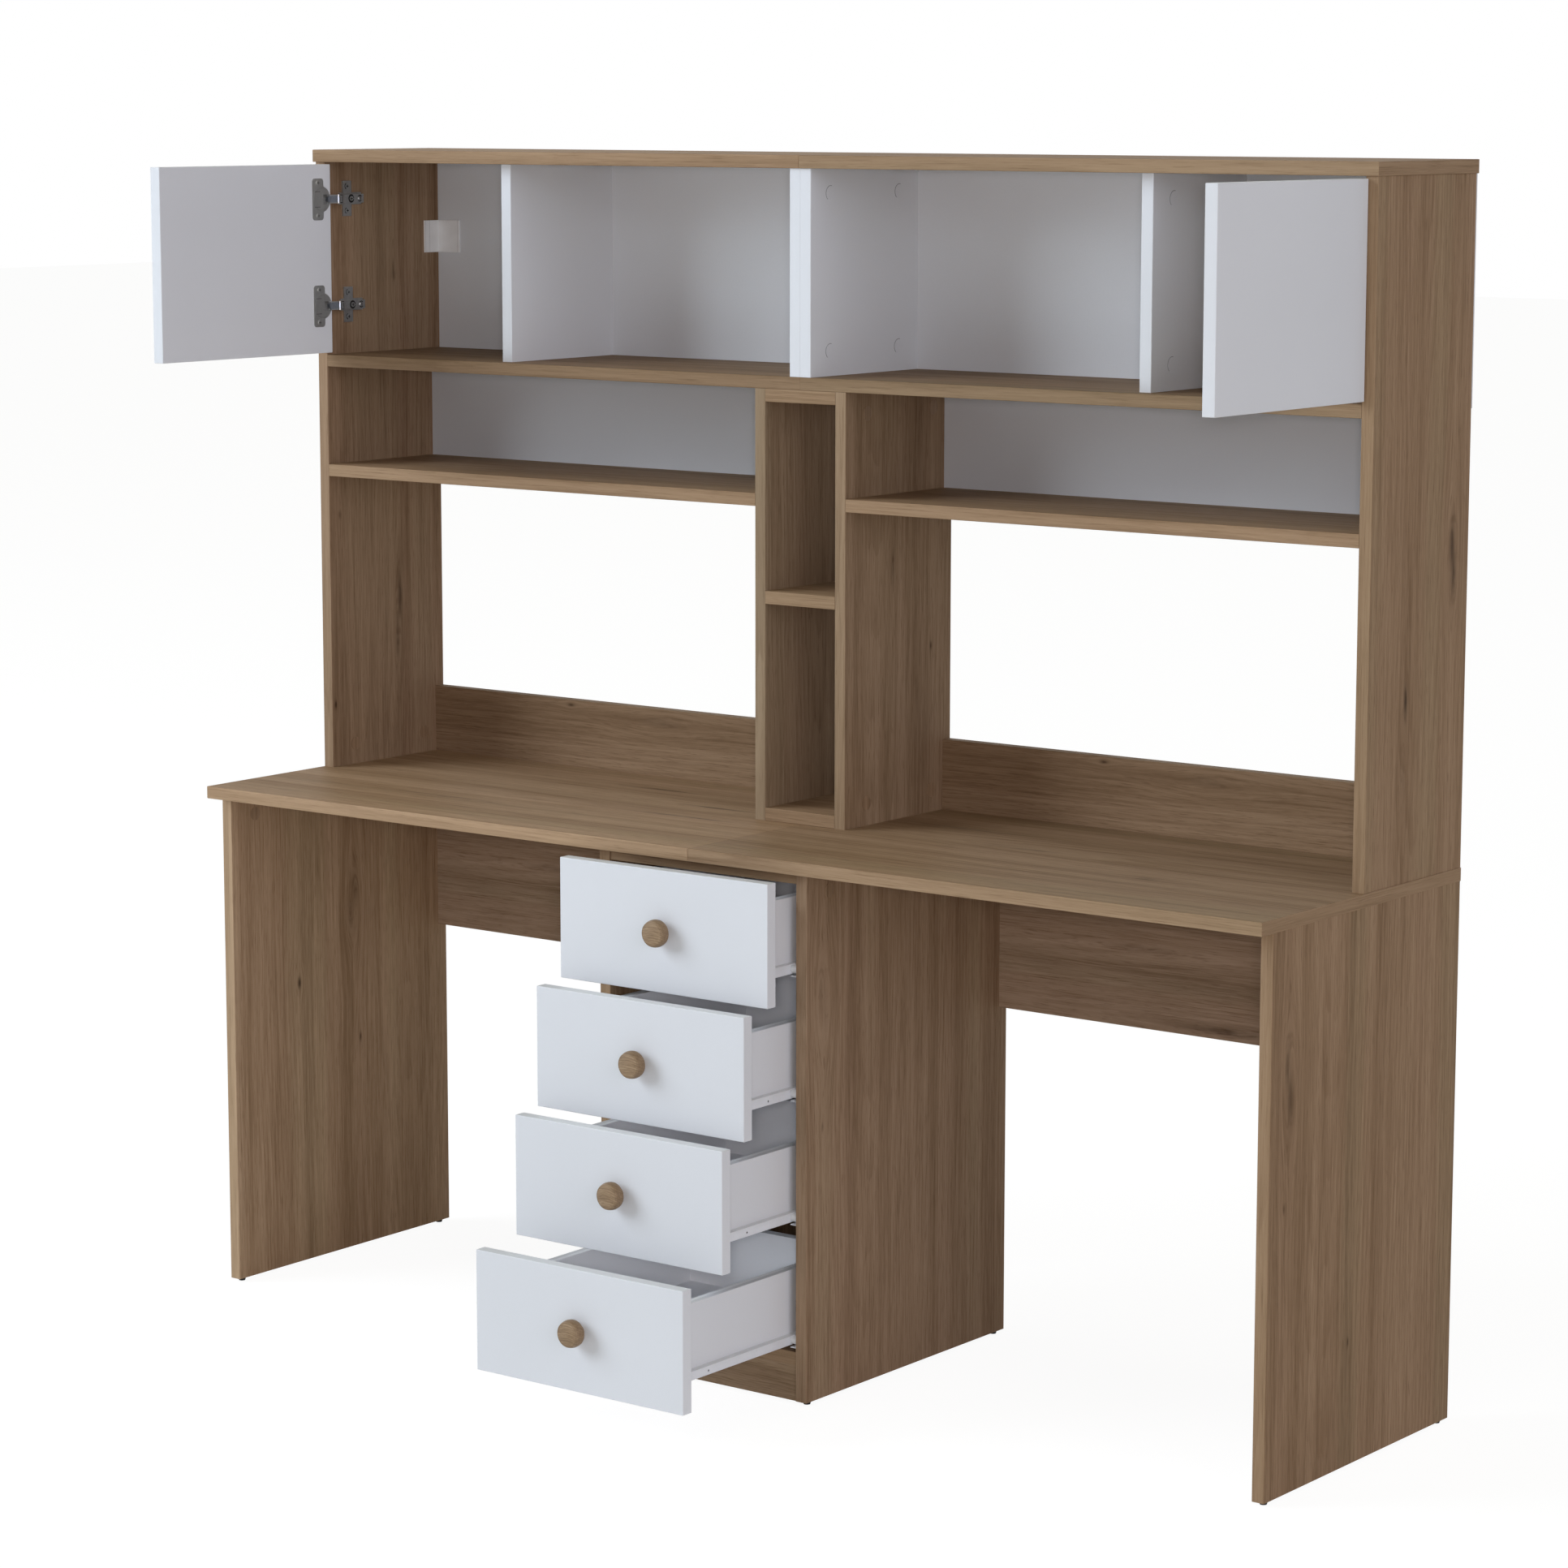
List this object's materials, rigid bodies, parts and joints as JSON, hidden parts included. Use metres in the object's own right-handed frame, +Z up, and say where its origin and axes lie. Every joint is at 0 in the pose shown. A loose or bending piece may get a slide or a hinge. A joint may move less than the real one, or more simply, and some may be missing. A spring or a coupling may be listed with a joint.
{
  "type": "student desk with hutch",
  "caption": "Wide student desk with a drawer pedestal between the knee spaces and a hutch of open shelves, a slim tower and hinged cupboard doors.",
  "frame": {"origin": "on the floor, under the middle of the whole desk as it stands at rest", "axes": "+X to the sitter's right along the desk, +Y to the back, +Z up; doors stand open and drawers are part of the way out at rest"},
  "size_m": [1.802, 0.762, 1.673],
  "materials": {
    "oak_board": "satin grey-brown oak laminate on 18 mm board",
    "white_board": "smooth white melamine on board",
    "white_hardboard": "white-faced thin hardboard",
    "knob_wood": "satin turned wood",
    "runner_metal": "white epoxy coat",
    "roller_plastic": "white nylon",
    "hinge_metal": "bright zinc plate",
    "foot_plastic": "black moulded plastic",
    "bracket_plastic": "milky plastic",
    "cam_plastic": "caps matched to the board they close"
  },
  "bodies": {
    "carcass": {"desk_top_left": "oak_board", "desk_top_right": "oak_board", "leg_panel_left": "oak_board", "leg_panel_right": "oak_board", "modesty_panels": "oak_board", "pedestal_side_left": "oak_board", "pedestal_side_right": "oak_board", "pedestal_top_board": "oak_board", "pedestal_bottom_board": "oak_board", "pedestal_plinth": "oak_board", "hutch_side_left": "oak_board", "hutch_side_right": "oak_board", "hutch_top_left": "oak_board", "hutch_top_right": "oak_board", "cupboard_floor_left": "oak_board", "cupboard_floor_right": "oak_board", "open_shelves": "oak_board", "splash_rails": "oak_board", "tower_side_left": "oak_board", "tower_side_right": "oak_board", "tower_boards": "oak_board", "cupboard_dividers": "white_board", "shelf_backs": "white_board", "cupboard_backs": "white_hardboard", "pedestal_back": "white_hardboard", "cabinet_runners": "runner_metal", "hinge_arms": "hinge_metal", "glide_feet": "foot_plastic", "wall_brackets": "bracket_plastic", "cam_fittings": "cam_plastic"},
    "left_door": {"door_left": "white_board", "hinge_cups_left": "hinge_metal"},
    "left_links": {"hinge_links_left": "hinge_metal"},
    "right_door": {"door_right": "white_board", "hinge_cups_right": "hinge_metal"},
    "right_links": {"hinge_links_right": "hinge_metal"},
    "drawer_1": {"drawer_front_1": "white_board", "drawer_box_1": "white_board", "drawer_knob_1": "knob_wood", "drawer_runners_1": "runner_metal"},
    "cabinet_rollers_1": {"cabinet_rollers_1": "roller_plastic"},
    "drawer_rollers_1": {"drawer_rollers_1": "roller_plastic"},
    "drawer_2": {"drawer_front_2": "white_board", "drawer_box_2": "white_board", "drawer_knob_2": "knob_wood", "drawer_runners_2": "runner_metal"},
    "cabinet_rollers_2": {"cabinet_rollers_2": "roller_plastic"},
    "drawer_rollers_2": {"drawer_rollers_2": "roller_plastic"},
    "drawer_3": {"drawer_front_3": "white_board", "drawer_box_3": "white_board", "drawer_knob_3": "knob_wood", "drawer_runners_3": "runner_metal"},
    "cabinet_rollers_3": {"cabinet_rollers_3": "roller_plastic"},
    "drawer_rollers_3": {"drawer_rollers_3": "roller_plastic"},
    "drawer_4": {"drawer_front_4": "white_board", "drawer_box_4": "white_board", "drawer_knob_4": "knob_wood", "drawer_runners_4": "runner_metal"},
    "cabinet_rollers_4": {"cabinet_rollers_4": "roller_plastic"},
    "drawer_rollers_4": {"drawer_rollers_4": "roller_plastic"}
  },
  "joints": [
    {"name": "left_door_swing", "type": "hinge", "parent": "carcass", "child": "left_door", "pos_m": [-0.883, 0.131, 1.52275], "axis": [0, 0, -1], "range_deg": [-90, 5]},
    {"name": "left_links_turn", "type": "hinge", "parent": "carcass", "child": "left_links", "pos_m": [-0.8649, 0.1406, 1.52275], "axis": [0, 0, -1], "range_deg": [-91, 6]},
    {"name": "right_door_swing", "type": "hinge", "parent": "carcass", "child": "right_door", "pos_m": [0.883, 0.131, 1.52275], "axis": [0, 0, 1], "range_deg": [-90, 5]},
    {"name": "right_links_turn", "type": "hinge", "parent": "carcass", "child": "right_links", "pos_m": [0.8649, 0.1406, 1.52275], "axis": [0, 0, 1], "range_deg": [-91, 6]},
    {"name": "drawer_1_slide", "type": "slide", "parent": "carcass", "child": "drawer_1", "axis": [0, -1, 0], "range_m": [-0.066, 0.234]},
    {"name": "cabinet_rollers_1_spin", "type": "hinge", "parent": "carcass", "child": "cabinet_rollers_1", "pos_m": [0, -0.081, 0.5998], "axis": [1, 0, 0], "range_deg": [-531, 1868]},
    {"name": "drawer_rollers_1_spin", "type": "hinge", "parent": "drawer_1", "child": "drawer_rollers_1", "pos_m": [0, 0.2295, 0.5974], "axis": [1, 0, 0], "range_deg": [-578, 2037]},
    {"name": "drawer_2_slide", "type": "slide", "parent": "carcass", "child": "drawer_2", "axis": [0, -1, 0], "range_m": [-0.117, 0.183]},
    {"name": "cabinet_rollers_2_spin", "type": "hinge", "parent": "carcass", "child": "cabinet_rollers_2", "pos_m": [0, -0.081, 0.4294], "axis": [1, 0, 0], "range_deg": [-937, 1462]},
    {"name": "drawer_rollers_2_spin", "type": "hinge", "parent": "drawer_2", "child": "drawer_rollers_2", "pos_m": [0, 0.1785, 0.427], "axis": [1, 0, 0], "range_deg": [-1021, 1594]},
    {"name": "drawer_3_slide", "type": "slide", "parent": "carcass", "child": "drawer_3", "axis": [0, -1, 0], "range_m": [-0.1635, 0.1365]},
    {"name": "cabinet_rollers_3_spin", "type": "hinge", "parent": "carcass", "child": "cabinet_rollers_3", "pos_m": [0, -0.081, 0.259], "axis": [1, 0, 0], "range_deg": [-1307, 1092]},
    {"name": "drawer_rollers_3_spin", "type": "hinge", "parent": "drawer_3", "child": "drawer_rollers_3", "pos_m": [0, 0.132, 0.2566], "axis": [1, 0, 0], "range_deg": [-1425, 1190]},
    {"name": "drawer_4_slide", "type": "slide", "parent": "carcass", "child": "drawer_4", "axis": [0, -1, 0], "range_m": [-0.2465, 0.0535]},
    {"name": "cabinet_rollers_4_spin", "type": "hinge", "parent": "carcass", "child": "cabinet_rollers_4", "pos_m": [0, -0.081, 0.0886], "axis": [1, 0, 0], "range_deg": [-1967, 431]},
    {"name": "drawer_rollers_4_spin", "type": "hinge", "parent": "drawer_4", "child": "drawer_rollers_4", "pos_m": [0, 0.049, 0.0862], "axis": [1, 0, 0], "range_deg": [-2145, 470]}
  ],
  "couplings": [
    {"joint": "left_links_turn", "follows": "left_door_swing", "ratio": 1},
    {"joint": "right_links_turn", "follows": "right_door_swing", "ratio": 1},
    {"joint": "cabinet_rollers_1_spin", "follows": "drawer_1_slide", "rad_per_m": 138.89},
    {"joint": "drawer_rollers_1_spin", "follows": "drawer_1_slide", "rad_per_m": 151.52},
    {"joint": "cabinet_rollers_2_spin", "follows": "drawer_2_slide", "rad_per_m": 138.89},
    {"joint": "drawer_rollers_2_spin", "follows": "drawer_2_slide", "rad_per_m": 151.52},
    {"joint": "cabinet_rollers_3_spin", "follows": "drawer_3_slide", "rad_per_m": 138.89},
    {"joint": "drawer_rollers_3_spin", "follows": "drawer_3_slide", "rad_per_m": 151.52},
    {"joint": "cabinet_rollers_4_spin", "follows": "drawer_4_slide", "rad_per_m": 138.89},
    {"joint": "drawer_rollers_4_spin", "follows": "drawer_4_slide", "rad_per_m": 151.52}
  ]
}
